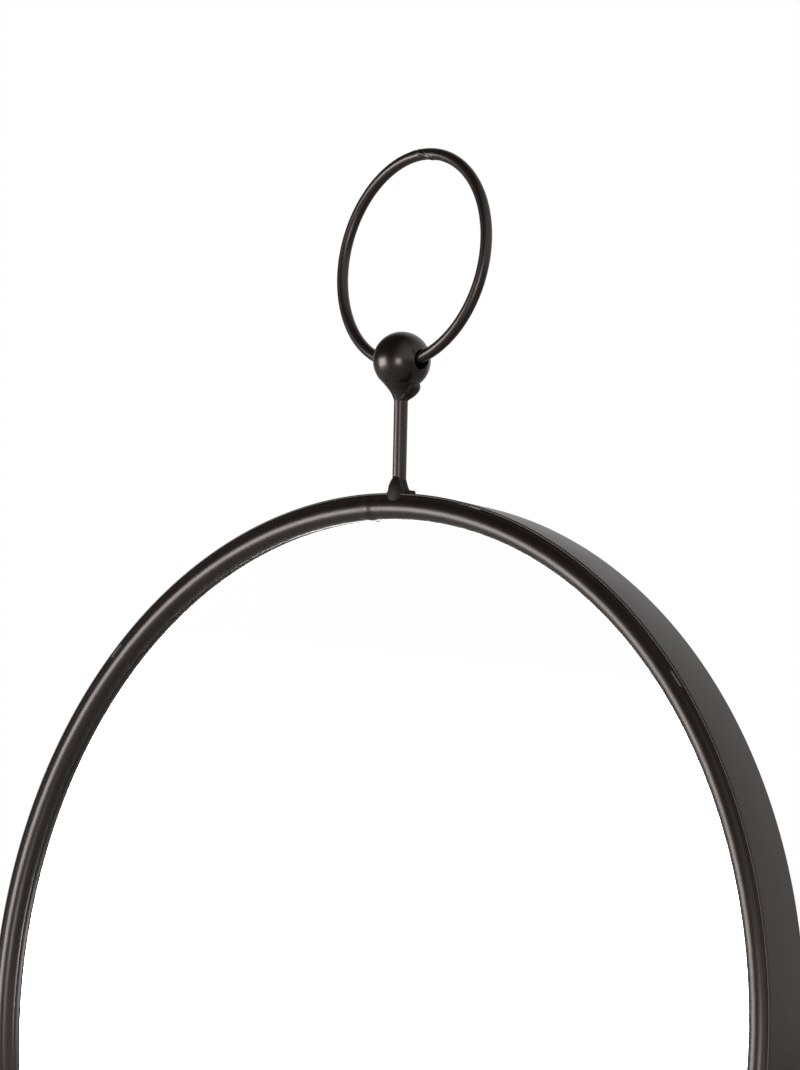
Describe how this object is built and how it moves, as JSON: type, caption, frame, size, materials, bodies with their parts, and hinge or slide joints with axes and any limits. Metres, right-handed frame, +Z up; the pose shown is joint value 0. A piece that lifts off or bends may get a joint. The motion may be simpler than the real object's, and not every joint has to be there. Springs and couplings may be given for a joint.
{
  "type": "mirror with hooks",
  "caption": "Round wall mirror in a rod-and-band steel frame, hung by a loose wire ring through a ball on a stem, with ball-tipped J hooks below.",
  "frame": {"origin": "where the nail carries the loose ring: the underside of the ring's top, in the wire's middle plane", "axes": "+Z up, -Y out of the mirror's front, +Y into the wall, +X to the right as seen from the front"},
  "size_m": [0.4499, 0.0415, 0.6374],
  "materials": {
    "frame_paint": "semi-gloss near-black paint with a warm brown tint",
    "weld_paint": "rough ripples under the same near-black paint",
    "ring_paint": "semi-gloss near-black paint on drawn wire",
    "mirror": "clear silvered mirror",
    "pad_foam": "thin soft foam",
    "board": "plain fibre board"
  },
  "bodies": {
    "ring": {"hanger_ring": "ring_paint", "ring_joint_weld": "ring_paint"},
    "frame": {"front_ring": "frame_paint", "side_band": "frame_paint", "groove_filler": "frame_paint", "ring_butt_weld": "weld_paint", "band_tack_welds": "weld_paint", "band_seam_weld": "weld_paint", "mirror_glass": "mirror", "glass_pad": "pad_foam", "backing_board": "board", "board_tabs": "frame_paint", "tab_welds": "weld_paint", "hanger_stem": "frame_paint", "hanger_ball": "frame_paint", "ball_weld": "weld_paint", "stem_foot_weld": "weld_paint", "hook_1": "frame_paint", "hook_2": "frame_paint", "hook_3": "frame_paint", "hook_4": "frame_paint", "hook_5": "frame_paint", "hook_tip_1": "frame_paint", "hook_tip_2": "frame_paint", "hook_tip_3": "frame_paint", "hook_tip_4": "frame_paint", "hook_tip_5": "frame_paint", "hook_welds": "weld_paint"}
  },
  "joints": [
    {"name": "frame_swing", "type": "hinge", "parent": "ring", "child": "frame", "pos_m": [0, 0, -0.08812], "axis": [1, 0, 0], "range_deg": [-173.8, 152.7]}
  ]
}
